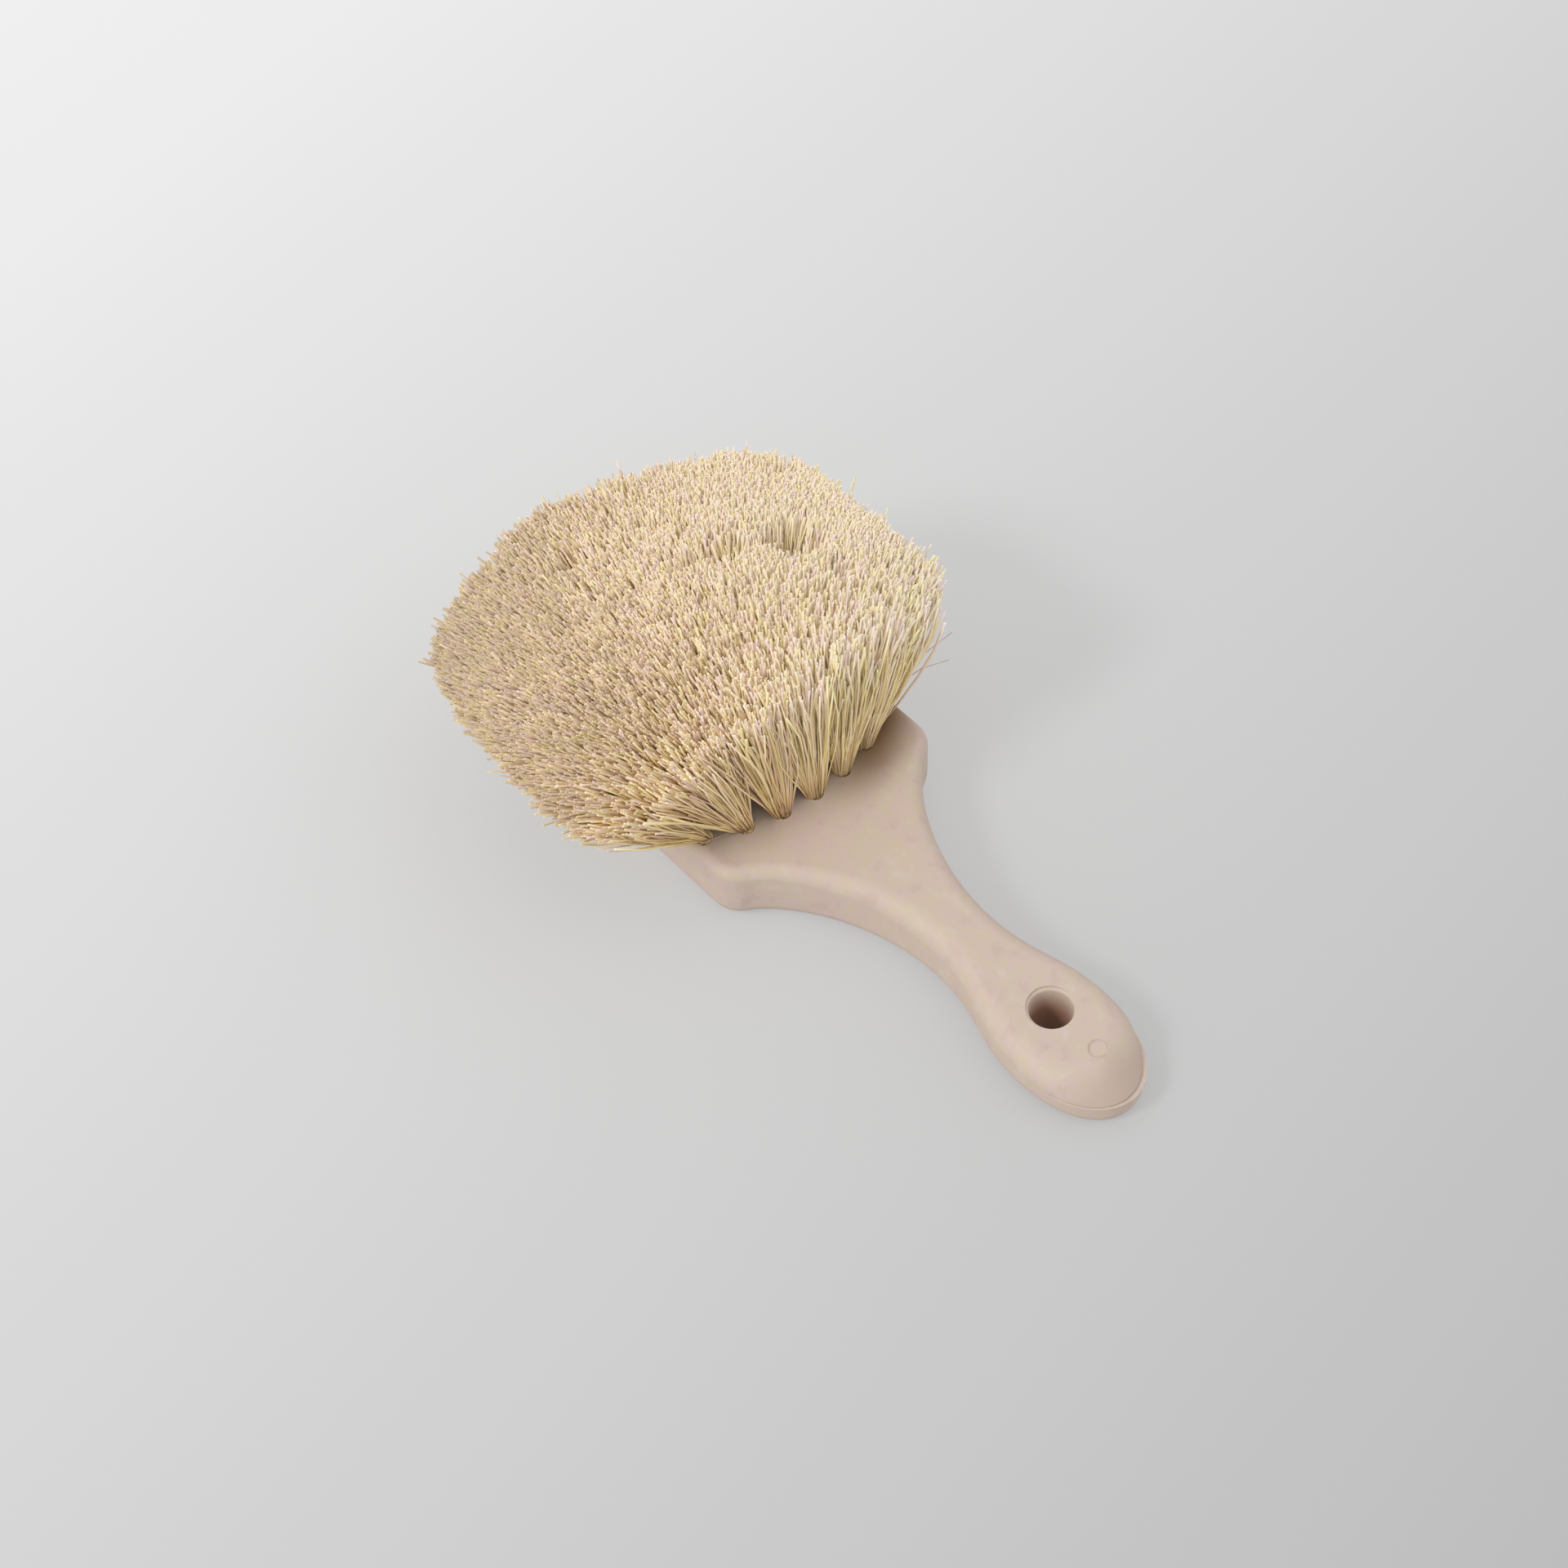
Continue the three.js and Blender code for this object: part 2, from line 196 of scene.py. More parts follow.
def block_mesh():
    """Points and faces of the block: rings from its back up to its face, both closed by strips."""
    half = half_outline()
    loop = np.vstack([half, (half[1:-1] * [1, -1])[::-1]])
    count = len(loop)
    forward = np.roll(loop, -1, 0) - np.roll(loop, 1, 0)
    inward = np.c_[forward[:, 1], -forward[:, 0]]
    inward /= np.linalg.norm(inward, axis=1)[:, None]
    rings = edge_rings(loop[:, 0], loop[:, 1])
    verts, faces = [], []
    for inset, z in rings:
        moved = loop + inward * np.broadcast_to(inset, count)[:, None]
        verts.extend(np.c_[moved, np.broadcast_to(z, count)])
    for r in range(len(rings) - 1):
        for i in range(count):
            a, b = r * count + i, r * count + (i + 1) % count
            faces.append((a, a + count, b + count, b))
    close_across(verts, faces, len(half), count, 0, False)
    close_across(verts, faces, len(half), count, (len(rings) - 1) * count, True)
    return np.array(verts) * MM, faces


def turned(name, profile, x, y, sides):
    """A closed ring or plug from a profile of radius and height, turned about a standing axis."""
    verts, faces = [], []
    m = len(profile)
    for k in range(sides):
        a = 2 * math.pi * k / sides
        for r, z in profile:
            verts.append(((x + r * math.cos(a)) * MM, (y + r * math.sin(a)) * MM, z * MM))
    for k in range(sides):
        for i in range(m - 1):
            a, b = k * m + i, (k + 1) % sides * m + i
            faces.append((a, b, b + 1, a + 1))
    obj = mesh_object(name, verts, faces)
    bm = bmesh.new()
    bm.from_mesh(obj.data)
    bmesh.ops.remove_doubles(bm, verts=bm.verts, dist=1e-7)
    bmesh.ops.recalc_face_normals(bm, faces=bm.faces)
    bm.to_mesh(obj.data)
    bm.free()
    return obj


def cut(obj, cutter):
    """Takes the cutter's shape out of the object, and removes the cutter."""
    mod = obj.modifiers.new("cut", "BOOLEAN")
    mod.operation, mod.solver, mod.object = "DIFFERENCE", "EXACT", cutter
    deps = bpy.context.evaluated_depsgraph_get()
    mesh = bpy.data.meshes.new_from_object(obj.evaluated_get(deps))
    obj.modifiers.clear()
    old = obj.data
    obj.data = mesh
    bpy.data.meshes.remove(old)
    bpy.data.objects.remove(cutter)


def hanging_hole_cutter():
    top = float(thickness(HANG_X))
    profile = [(0, -HANG_OVER), (HANG_R - HANG_DRAFT, -HANG_OVER)]
    for a in np.linspace(0, math.pi / 2, HANG_RIM_STEPS):
        profile.append((HANG_R + HANG_RIM * (1 - math.cos(a)), top - HANG_RIM * (1 - math.sin(a))))
    profile += [(HANG_R + HANG_RIM, top + HANG_OVER), (0, top + HANG_OVER)]
    return turned("hang_cutter", profile, HANG_X, 0, HANG_SIDES)


def mould_mark_cutter():
    top = float(thickness(MARK_X)) + MARK_LIFT
    profile = []
    for a in np.linspace(0, 2 * math.pi, MARK_STEPS):
        profile.append((MARK_R + MARK_GROOVE * math.cos(a), top + MARK_GROOVE * math.sin(a)))
    return turned("mark_cutter", profile, MARK_X, MARK_Y, MARK_SIDES)


def row_x(row, y):
    pitch = (FRONT_ROW_X - FAR_ROW_X) / (ROWS - 1)
    return FRONT_ROW_X - row * pitch - SAGITTA * (1 - 2 * row / (ROWS - 1)) * (y / ROW_HALF) ** 2


def tuft_place(row, x, y):
    """Row, mouth and axis of a tuft hole, whose bottom is where the anchor lies."""
    drilled = np.array([HOLE_FAN * x, HOLE_FAN * y, 1.0])
    bottom = np.array([x, y, HEAD_T]) - drilled / np.linalg.norm(drilled) * HOLE_DEPTH
    mouth = np.array([x + MOUTH_X, MOUTH_SPREAD * y + MOUTH_Y, HEAD_T])
    axis = mouth - bottom
    return row, mouth, axis / np.linalg.norm(axis)


def tuft_places():
    places = []
    for row in range(ROWS):
        count = FRONT_TUFTS - row % 2
        for i in range(count):
            y = (i - (count - 1) / 2) * 2 * ROW_HALF / (FRONT_TUFTS - 1)
            places.append(tuft_place(row, row_x(row, y), y))
    return places


TUFTS = tuft_places()


def tuft_hole_cutter():
    """Plugs for all tuft holes, each standing out a little over the face."""
    verts, faces = [], []
    for _, mouth, axis in TUFTS:
        u = np.cross(axis, (0, 1, 0))
        u /= np.linalg.norm(u)
        v = np.cross(axis, u)
        base = len(verts)
        for depth in (HOLE_DEPTH, -HOLE_OVER):
            for k in range(HOLE_SIDES):
                a = 2 * math.pi * k / HOLE_SIDES
                out = HOLE_R * (u * math.cos(a) + v * math.sin(a))
                verts.append((mouth - axis * depth + out) * MM)
        for k in range(HOLE_SIDES):
            k2 = (k + 1) % HOLE_SIDES
            faces.append((base + k, base + k2, base + HOLE_SIDES + k2, base + HOLE_SIDES + k))
        faces.append([base + k for k in reversed(range(HOLE_SIDES))])
        faces.append([base + HOLE_SIDES + k for k in range(HOLE_SIDES)])
    return mesh_object("hole_cutter", verts, faces)


def build_block():
    block = mesh_object("moulded_block", *block_mesh())
    cut(block, hanging_hole_cutter())
    cut(block, mould_mark_cutter())
    cut(block, tuft_hole_cutter())
    block.data.polygons.foreach_set("use_smooth", [True] * len(block.data.polygons))
    block.data.set_sharp_from_angle(angle=SHARP_ANGLE)
    weighted = block.modifiers.new("weighted", "WEIGHTED_NORMAL")
    weighted.keep_sharp = True
    weighted.weight = FACE_WEIGHT
    return block


# Fibres: segments along each, sides of its tube, about how many there are, the number of tones, and sizes
SEGS, SIDES, FIBRES, COLUMNS = 4, 3, 27300, 256
FIBRE_R, THICK_SHARE, THICKER, ROOT_TAPER = (0.255, 0.39), 0.06, 1.5, 0.55

# The mat: places on the head are a, from far to front, and b, from side to side, both from -1 to 1
MAT_HALF, MAT_FRONT, MAT_FAR = 36.0, FRONT_ROW_X + 4, FAR_ROW_X - 5
MAT_SPARE, MAT_CORNERS = 1.06, 8

# Slopes of the fibres along X and Y at the front and the far row, as powers of b
FRONT_LEAN_X, FAR_LEAN_X = (-0.14, -0.04, 0.27), (-0.53, 0.4)
FRONT_LEAN_Y, FAR_LEAN_Y = (0.06, 0.56, 0, 0.42, -0.53), (-0.12, 0.9, -0.27, -0.23)

# How far fibres cross over to another tuft: along X, and along Y at three places b
CROSS_X, CROSS_AT, CROSS_Y = 0.5, (-0.8, 0, 0.8), (0.9, 1.4, 2.6)

# Where fibres start in the mouth of their hole
ROOT_R, ROOT_SHARE, ROOT_NOISE, ROOT_DEPTH = 2.25, 0.4, 0.5, 1.5

# Lengths: noise, waves over the mat, the ragged near rows and a few short fibres
TIP_LENGTH, LENGTH_NOISE = 47.6, 0.8
WAVES, WAVE, WAVE_RATES, WAVE_PHASES = 5, 0.35, (2, 5), (0, 6.28)
RAGGED, RAGGED_FROM, RAGGED_POWER = 21, 0.1, 1.5
SHORT_SHARE, SHORT = 0.08, 5

# Tips: the shift of whole tufts, fibres that stray and the small locks that they cling in
TUFT_SHIFT, STRAY_SHARE, STRAY_RAGGED, STRAY_FAR, PARTED = 0.7, 0.12, 0.2, 3.2, 1.2
LOCKS_ACROSS, LOCK_WAVE, LOCK_WAVE_RATE, CLING = 44, 0.45, 31, 0.35

# Hollows where fibres part: place a, b, depth and size
HOLLOWS = ((0.02, 0.54, 24.0, 0.13), (-0.02, 0.42, 12.0, 0.06), (-0.10, 0.22, 20.0, 0.08),
           (-0.12, 0.09, 14.0, 0.055), (-0.73, 0.86, 16.0, 0.08), (-0.61, -0.20, 12.0, 0.06),
           (0.37, 0.57, 14.0, 0.06), (0.15, 0.0, 10.0, 0.045))

# Tones, from straw at 0 to pale at 1: by b, then at the far and near rows, then for each lock and fibre.
# Those by b and at the far and near rows are painted shade and painted light over the mat; those of each
# lock and fibre differ at random.
TONE_AT, TONES = (-1, -0.5, 0, 0.5, 1), (0.09, 0.28, 0.61, 0.86, 1.0)
FAR_TONE, FAR_FROM, NEAR_TONE, NEAR_REACH = 0.26, -0.2, 0.34, 1.8
LOCK_TONE, FIBRE_TONE = 0.09, 0.14
PALE_FROM, PALE_ROOM, STRAW_FROM, TONE_MOST = 0.7, 0.3, 0.2, 0.999

# Bends of the fibres: of their start and end, how far the end follows the slope, and of the two pulls
START_BEND, END_BEND, END_LEAN, START_PULL, END_PULL = 0.08, 0.19, 0.08, 0.4, 1.1

# Folded root of a tuft: depths and radii of its rings, sides, range of tones and place on the ramps
FOLD_DEPTHS, FOLD_RADII = np.array([11.5, 11.0, 0.5, 0.05]), np.array([1.5, 2.25, 2.32, 2.1])
FOLD_SIDES, FOLD_TONES, FOLD_ALONG = 16, (0.5, 0.8), 0.3

# Loose fibres by the near corners: root, two pulls and tip
LOOSE = (((31.3, 31.5, 19.6), (31.5, 34, 29), (34, 38, 39), (37.7, 51.9, 45)),
         ((31.8, 31, 19.6), (32, 33.5, 29), (35, 37.5, 39), (41.4, 47.4, 40)),
         ((36.6, -19.5, 20.6), (35.8, -25, 21.2), (34.2, -31, 21.2), (32.4, -38.2, 21.4)))
LOOSE_R, LOOSE_TONE = 0.14, 0.02
UV_LEAST, UV_RANGE = 0.002, 0.996


def powers(b, factors):
    return sum(k * b ** i for i, k in enumerate(factors))


def lean(a, b):
    """Slope of a fibre along X and Y, from its place on the head."""
    w = (1 + a) / 2
    sx = w * powers(b, FRONT_LEAN_X) + (1 - w) * powers(b, FAR_LEAN_X)
    sy = w * powers(b, FRONT_LEAN_Y) + (1 - w) * powers(b, FAR_LEAN_Y)
    return np.c_[sx, sy]


def head_place(a, b):
    y = b * MAT_HALF
    bow = SAGITTA * (y / ROW_HALF) ** 2
    front, far = MAT_FRONT - bow, MAT_FAR + bow
    return np.c_[(front + far) / 2 + a * (front - far) / 2, y]


def mat_samples():
    """Evenly scattered places a, b over the head, in a square with rounded corners."""
    n = int(math.sqrt(FIBRES * MAT_SPARE))
    i, j = np.meshgrid(np.arange(n), np.arange(n), indexing="ij")
    p = np.stack([i, j], -1).reshape(-1, 2) + 0.5 + rng.uniform(-0.5, 0.5, (n * n, 2))
    p = p / n * 2 - 1
    return p[(np.abs(p) ** MAT_CORNERS).sum(1) < 1]


def choose_tufts(ab, place, centres):
    """Tuft of each fibre. One near the border of two tufts may come from either, so that they cross."""
    n = len(ab)
    spread = np.c_[np.full(n, CROSS_X), np.interp(ab[:, 1], CROSS_AT, CROSS_Y)]
    about = place + rng.normal(0, 1, (n, 2)) * spread
    return np.argmin(((about[:, None] - centres[None]) ** 2).sum(2), 1)


def fibre_roots(place, centre):
    """Start of each fibre, inside the mouth of its hole."""
    n = len(place)
    off = place - centre
    reach = np.linalg.norm(off, axis=1)[:, None]
    off = off / np.maximum(reach, 1e-6) * np.minimum(reach * ROOT_SHARE, ROOT_R)
    off += rng.normal(0, ROOT_NOISE, (n, 2))
    off /= np.maximum(np.linalg.norm(off, axis=1)[:, None] / ROOT_R, 1)
    return np.c_[centre + off, np.full(n, HEAD_T - ROOT_DEPTH)]


def fibre_lengths(ab, ragged):
    """Lengths, uneven in the near rows, so that their long sides run into the mat without an edge."""
    n = len(ab)
    length = TIP_LENGTH + rng.normal(0, LENGTH_NOISE, n)
    for _ in range(WAVES):
        rates, phase = rng.uniform(*WAVE_RATES, 2), rng.uniform(*WAVE_PHASES)
        length += WAVE * np.sin(ab @ rates + phase)
    length -= RAGGED * ragged * rng.random(n) ** RAGGED_POWER
    short = rng.random(n) < SHORT_SHARE
    length[short] -= rng.random(short.sum()) * SHORT
    return length


def part_fibres(ab, length):
    """Shortens the fibres in each hollow, and gives how far it pushes their tips aside."""
    parted = np.zeros((len(ab), 2))
    for a, b, depth, size in HOLLOWS:
        away = ab - [a, b]
        near = np.exp(-((away ** 2).sum(1) / size ** 2) ** 2)
        length -= depth * near
        parted += away / size * near[:, None]
    return parted


def fibre_tips(ab, place, slope, tuft):
    n = len(ab)
    towards = np.c_[slope, np.ones(n)]
    towards /= np.linalg.norm(towards, axis=1)[:, None]
    ragged = np.clip((ab[:, 0] - RAGGED_FROM) / (1 - RAGGED_FROM), 0, 1)
    length = fibre_lengths(ab, ragged)
    parted = part_fibres(ab, length)
    tip = np.c_[place, np.full(n, HEAD_T)] + towards * length[:, None]
    shift = rng.normal(0, TUFT_SHIFT, (len(TUFTS), 2))
    stray = np.where(rng.random(n) < STRAY_SHARE + STRAY_RAGGED * ragged, STRAY_FAR, 1.0)[:, None]
    tip[:, :2] += shift[tuft] + rng.normal(0, 1, (n, 2)) * stray + parted * PARTED
    return tip


def locks(ab, tuft):
    """Number of the small lock that each fibre clings to, none of them shared by two tufts."""
    cells = (ab + 1) * 0.5 * LOCKS_ACROSS + LOCK_WAVE * np.sin(ab[:, ::-1] * LOCK_WAVE_RATE)
    cells = np.floor(cells).astype(int)
    key = (cells[:, 0] * 1000 + cells[:, 1]) * 100 + tuft
    return np.unique(key, return_inverse=True)[1]


def cling(tip, lock):
    """Draws the tips of each lock together."""
    count = np.bincount(lock)[lock]
    middle = np.stack([np.bincount(lock, tip[:, k])[lock] / count for k in range(3)], 1)
    tip += CLING * (middle - tip)


def fibre_tones(ab, lock):
    """Tones: straw towards one side of the head, paler towards the other and along the near row, which paint
    the mat's shade and light, with tones that differ at random by lock and fibre.
    """
    a, b = ab[:, 0], ab[:, 1]
    # painted shade towards one side of the head and at the far rows, painted light along the near row
    tone = np.interp(b, TONE_AT, TONES)
    tone -= FAR_TONE * np.clip(FAR_FROM - a, 0, 1)
    tone += NEAR_TONE * np.clip(a * 2 - 1, 0, 1) * np.clip(NEAR_REACH + b, 0, 1)
    tone += LOCK_TONE * rng.normal(0, 1, lock.max() + 1)[lock] + FIBRE_TONE * rng.normal(0, 1, len(ab))
    # very pale and very dark tones crowd together without becoming one
    tone = np.where(tone > PALE_FROM, 1 - PALE_ROOM * np.exp((PALE_FROM - tone) / PALE_ROOM), tone)
    tone = np.where(tone < STRAW_FROM, STRAW_FROM * np.exp((tone - STRAW_FROM) / STRAW_FROM), tone)
    return np.clip(tone, 0, TONE_MOST)


def fibre_curves(*points):
    t = np.linspace(0, 1, SEGS + 1)[None, :, None]
    return bezier([np.asarray(p, float)[:, None] for p in points], t)


def bent_paths(root, tip, slope):
    """Paths from root to tip, each bent a little in its own way."""
    n = len(root)
    chord = tip - root
    reach = np.linalg.norm(chord, axis=1)[:, None]
    chord = chord / reach
    start = chord + np.c_[rng.normal(0, START_BEND, (n, 2)), np.zeros(n)]
    end = chord + np.c_[rng.normal(0, END_BEND, (n, 2)) + slope * END_LEAN, np.zeros(n)]
    p1, p2 = root + start * reach / 3, tip - end * reach / 3
    p1[:, :2] += rng.normal(0, START_PULL, (n, 2))
    p2[:, :2] += rng.normal(0, END_PULL, (n, 2))
    return fibre_curves(root, p1, p2, tip)


def scatter_fibres():
    """Path, radius, tuft and tone of every fibre."""
    centres = np.array([mouth[:2] for _, mouth, _ in TUFTS])
    ab = mat_samples()
    n = len(ab)
    place, slope = head_place(ab[:, 0], ab[:, 1]), lean(ab[:, 0], ab[:, 1])
    tuft = choose_tufts(ab, place, centres)
    root = fibre_roots(place, centres[tuft])
    tip = fibre_tips(ab, place, slope, tuft)
    lock = locks(ab, tuft)
    cling(tip, lock)
    tone = fibre_tones(ab, lock)
    paths = bent_paths(root, tip, slope)
    radius = rng.uniform(*FIBRE_R, n) * np.where(rng.random(n) < THICK_SHARE, THICKER, 1.0)
    return paths, radius, tuft, tone


def tube_points(paths, radii, sides):
    """Points round each path, ring by ring, from a chance turn."""
    n, rings, _ = paths.shape
    tangent = np.gradient(paths, axis=1)
    tangent /= np.linalg.norm(tangent, axis=2)[..., None]
    turn = rng.random(n) * 2 * math.pi
    ref = np.c_[np.cos(turn), np.sin(turn), np.zeros(n)][:, None, :]
    u = ref - tangent * (ref * tangent).sum(2)[..., None]
    u /= np.linalg.norm(u, axis=2)[..., None]
    v = np.cross(tangent, u)
    points = np.zeros((n, rings, sides, 3))
    for k in range(sides):
        a = 2 * math.pi * k / sides
        points[:, :, k] = paths + (u * math.cos(a) + v * math.sin(a)) * radii[..., None]
    return points.reshape(-1, 3) * MM


def tubes(paths, radii, sides, tone, along):
    """Closed tubes on paths: points, corners, corners in each face, smoothness and places on the ramps."""
    n, rings, _ = paths.shape
    verts = tube_points(paths, radii, sides)
    base = (np.arange(n) * rings * sides)[:, None, None]
    ring = base + np.arange(rings - 1)[None, :, None] * sides
    here = np.arange(sides)[None, None, :]
    beside = (here + 1) % sides
    quads = np.stack([ring + here, ring + beside, ring + sides + beside, ring + sides + here], -1)
    quads = quads.reshape(-1)
    caps = (base[:, 0] + (rings - 1) * sides + np.arange(sides)[None, :]).reshape(-1)
    feet = (base[:, 0] + np.arange(sides)[None, ::-1]).reshape(-1)
    corner = np.concatenate([quads, caps, feet])
    sizes = np.concatenate([np.full(len(quads) // 4, 4), np.full(2 * n, sides)])
    smooth = np.arange(len(sizes)) < len(quads) // 4
    # u picks the fibre's own tone, v runs from root to tip
    fibre_of, ring_of = corner // (sides * rings), corner // sides % rings
    column = np.floor(tone * COLUMNS)
    uv = np.c_[(column[fibre_of] + 0.5) / COLUMNS, UV_LEAST + UV_RANGE * along[ring_of]]
    return verts, corner, sizes, smooth, uv


def fibre_object(name, parts):
    """One mesh object from several sets of tubes."""
    starts = np.cumsum([0] + [len(part[0]) for part in parts])
    verts = np.concatenate([part[0] for part in parts])
    corner = np.concatenate([part[1] + start for part, start in zip(parts, starts)]).astype(np.int32)
    sizes, smooth, uv = (np.concatenate([part[i] for part in parts]) for i in (2, 3, 4))
    mesh = bpy.data.meshes.new(name)
    mesh.vertices.add(len(verts))
    mesh.vertices.foreach_set("co", verts.ravel())
    mesh.loops.add(len(corner))
    mesh.loops.foreach_set("vertex_index", corner)
    mesh.polygons.add(len(sizes))
    mesh.polygons.foreach_set("loop_start", np.r_[0, np.cumsum(sizes)[:-1]].astype(np.int32))
    mesh.polygons.foreach_set("use_smooth", smooth)
    mesh.update(calc_edges=True)
    mesh.uv_layers.new(name="OFBake").data.foreach_set("uv", uv.ravel())
    obj = bpy.data.objects.new(name, mesh)
    bpy.context.scene.collection.objects.link(obj)
    return obj


def folded_roots(first):
    """The folded root of each tuft in the rows of one piece, packed into its hole over the anchor."""
    rows = range(first, first + ROWS_IN_PIECE)
    paths = np.array([mouth - axis * FOLD_DEPTHS[:, None] for row, mouth, axis in TUFTS if row in rows])
    n = len(paths)
    tone = rng.uniform(*FOLD_TONES, n)
    return tubes(paths, np.tile(FOLD_RADII, (n, 1)), FOLD_SIDES, tone, np.full(len(FOLD_DEPTHS), FOLD_ALONG))


def loose_fibres(along):
    paths = fibre_curves(*np.array(LOOSE, float).transpose(1, 0, 2))
    n = len(paths)
    return tubes(paths, np.full((n, SEGS + 1), LOOSE_R), SIDES, np.full(n, LOOSE_TONE), along)


def build_fibres():
    """The pieces of fibre, each with the name of the CAD node that it replaces."""
    paths, radii, tuft, tones = scatter_fibres()
    row_of = np.array([row for row, _, _ in TUFTS])[tuft]
    taper, along = np.linspace(ROOT_TAPER, 1.0, SEGS + 1), np.linspace(0, 1, SEGS + 1)
    pieces = []
    for first in range(0, ROWS, ROWS_IN_PIECE):
        pick = (row_of >= first) & (row_of < first + ROWS_IN_PIECE)
        parts = [tubes(paths[pick], radii[pick][:, None] * taper, SIDES, tones[pick], along)]
        parts.append(folded_roots(first))
        if first == 0:
            parts.append(loose_fibres(along))
        rows = f"rows_{first + 1}_to_{first + ROWS_IN_PIECE}"
        pieces.append((fibre_object(f"fibre_{rows}", parts), f"tufts_{rows}"))
    return pieces


# Nodes of materials


def material(name):
    mat = bpy.data.materials.new(name)
    mat.use_nodes = True
    return mat, mat.node_tree, mat.node_tree.nodes["Principled BSDF"]


def feed(tree, socket, value):
    """Gives a socket the output of another node, or a plain number or colour."""
    if isinstance(value, bpy.types.NodeSocket):
        tree.links.new(value, socket)
    else:
        socket.default_value = value


def reckon(tree, operation, *values):
    node = tree.nodes.new("ShaderNodeMath")
    node.operation = operation
    for socket, value in zip(node.inputs, values):
        feed(tree, socket, value)
    return node.outputs["Value"]


def vector_reckon(tree, operation, a, b):
    node = tree.nodes.new("ShaderNodeVectorMath")
    node.operation = operation
    feed(tree, node.inputs[0], a)
    feed(tree, node.inputs[1], b)
    return node.outputs


def split(tree, vector):
    node = tree.nodes.new("ShaderNodeSeparateXYZ")
    feed(tree, node.inputs["Vector"], vector)
    return node.outputs


def faded(tree, value, start, finish, kind="SMOOTHSTEP"):
    """A share that goes from 0 at start to 1 at finish."""
    node = tree.nodes.new("ShaderNodeMapRange")
    node.interpolation_type = kind
    feed(tree, node.inputs["From Min"], start)
    feed(tree, node.inputs["From Max"], finish)
    feed(tree, node.inputs["Value"], value)
    return node.outputs["Result"]


def faded_over(tree, value, span, kind="SMOOTHSTEP"):
    """The same for a coordinate, over a span in millimetres."""
    return faded(tree, value, span[0] * MM, span[1] * MM, kind)


def mixed(tree, factor, a, b, blend="MIX"):
    node = tree.nodes.new("ShaderNodeMix")
    node.data_type, node.blend_type = "RGBA", blend
    feed(tree, node.inputs["Factor"], factor)
    feed(tree, node.inputs["A"], a)
    feed(tree, node.inputs["B"], b)
    return node.outputs["Result"]


def colour_ramp(tree, value, stops):
    ramp = tree.nodes.new("ShaderNodeValToRGB")
    elements = ramp.color_ramp.elements
    elements[0].position, elements[1].position = stops[0][0], stops[-1][0]
    elements[0].color, elements[1].color = srgb(*stops[0][1]), srgb(*stops[-1][1])
    for at, colour in stops[1:-1]:
        elements.new(at).color = srgb(*colour)
    feed(tree, ramp.inputs["Fac"], value)
    return ramp.outputs["Color"]


def noise(tree, scale, detail, vector=None):
    node = tree.nodes.new("ShaderNodeTexNoise")
    feed(tree, node.inputs["Scale"], scale)
    feed(tree, node.inputs["Detail"], detail)
    if vector is not None:
        feed(tree, node.inputs["Vector"], vector)
    return node.outputs["Fac"]


def object_place(tree):
    return tree.nodes.new("ShaderNodeTexCoord").outputs["Object"]


# Plastic: clouds of rosier and yellower tan, with painted shade: a brown painted shadow on the face, a
# darker rounded end and a dark brown deeper in the hanging hole
CLOUDS = ((0.3, (199, 178, 164)), (0.44, (205, 184, 175)),
          (0.56, (203, 186, 165)), (0.7, (207, 190, 180)))
CLOUD_SCALE, CLOUD_DETAIL = 190, 4
# Colours of painted shade: the shadow on the face, the rounded end of the handle and the deep hanging hole
PAINTED_SHADOW, END_SHADE, HOLE_SHADE = (128, 99, 68), (191, 171, 157), (166, 128, 108)
# Reach of the painted shadow on the face: along X past the near row, along Y and in height
SHADOW_BEFORE, SHADOW_UNDER = (FRONT_ROW_X + 18, FRONT_ROW_X + 3), (20.0, 30.0)
SHADOW_SIDE, SHADOW_FACE = (-4, 24), (HEAD_T - 3, HEAD_T - 0.5)
# Where the painted shade on the handle's rounded end lies, along X and in height
END_SHADE_SPAN, END_SHADE_HEIGHT = (END_X - 13, END_X - 5), (END_T / 2, END_T / 2 + 0.6)
# Heights over which the painted shade in the hanging hole deepens, and its reach past the hole's radius
HOLE_SHADE_DEPTH, HOLE_SHADE_ROOM = (14.5, 8.0), 0.5
GRAIN_SCALE, GRAIN_DETAIL, GRAIN_STRENGTH, GRAIN_DISTANCE = 900, 2, 0.05, 0.3
PLASTIC_ROUGHNESS, PLASTIC_SPECULAR = 0.55, 0.35


def painted_shadow(tree, place):
    """Share of the painted shadow on the face, before the end of the near row on the side of +Y."""
    bow = reckon(tree, "MULTIPLY", place["Y"], place["Y"])
    bow = reckon(tree, "MULTIPLY", bow, SAGITTA / ROW_HALF ** 2 / MM)
    beyond = reckon(tree, "ADD", place["X"], bow)
    before, under = faded_over(tree, beyond, SHADOW_BEFORE), faded_over(tree, beyond, SHADOW_UNDER)
    share = reckon(tree, "MULTIPLY", before, under)
    share = reckon(tree, "MULTIPLY", share, faded_over(tree, place["Y"], SHADOW_SIDE))
    return reckon(tree, "MULTIPLY", share, faded_over(tree, place["Z"], SHADOW_FACE))


def painted_end_shade(tree, place):
    """Share of the painted shade on the rounded end of the handle."""
    along, above = faded_over(tree, place["X"], END_SHADE_SPAN), faded_over(tree, place["Z"], END_SHADE_HEIGHT)
    return reckon(tree, "MULTIPLY", along, above)


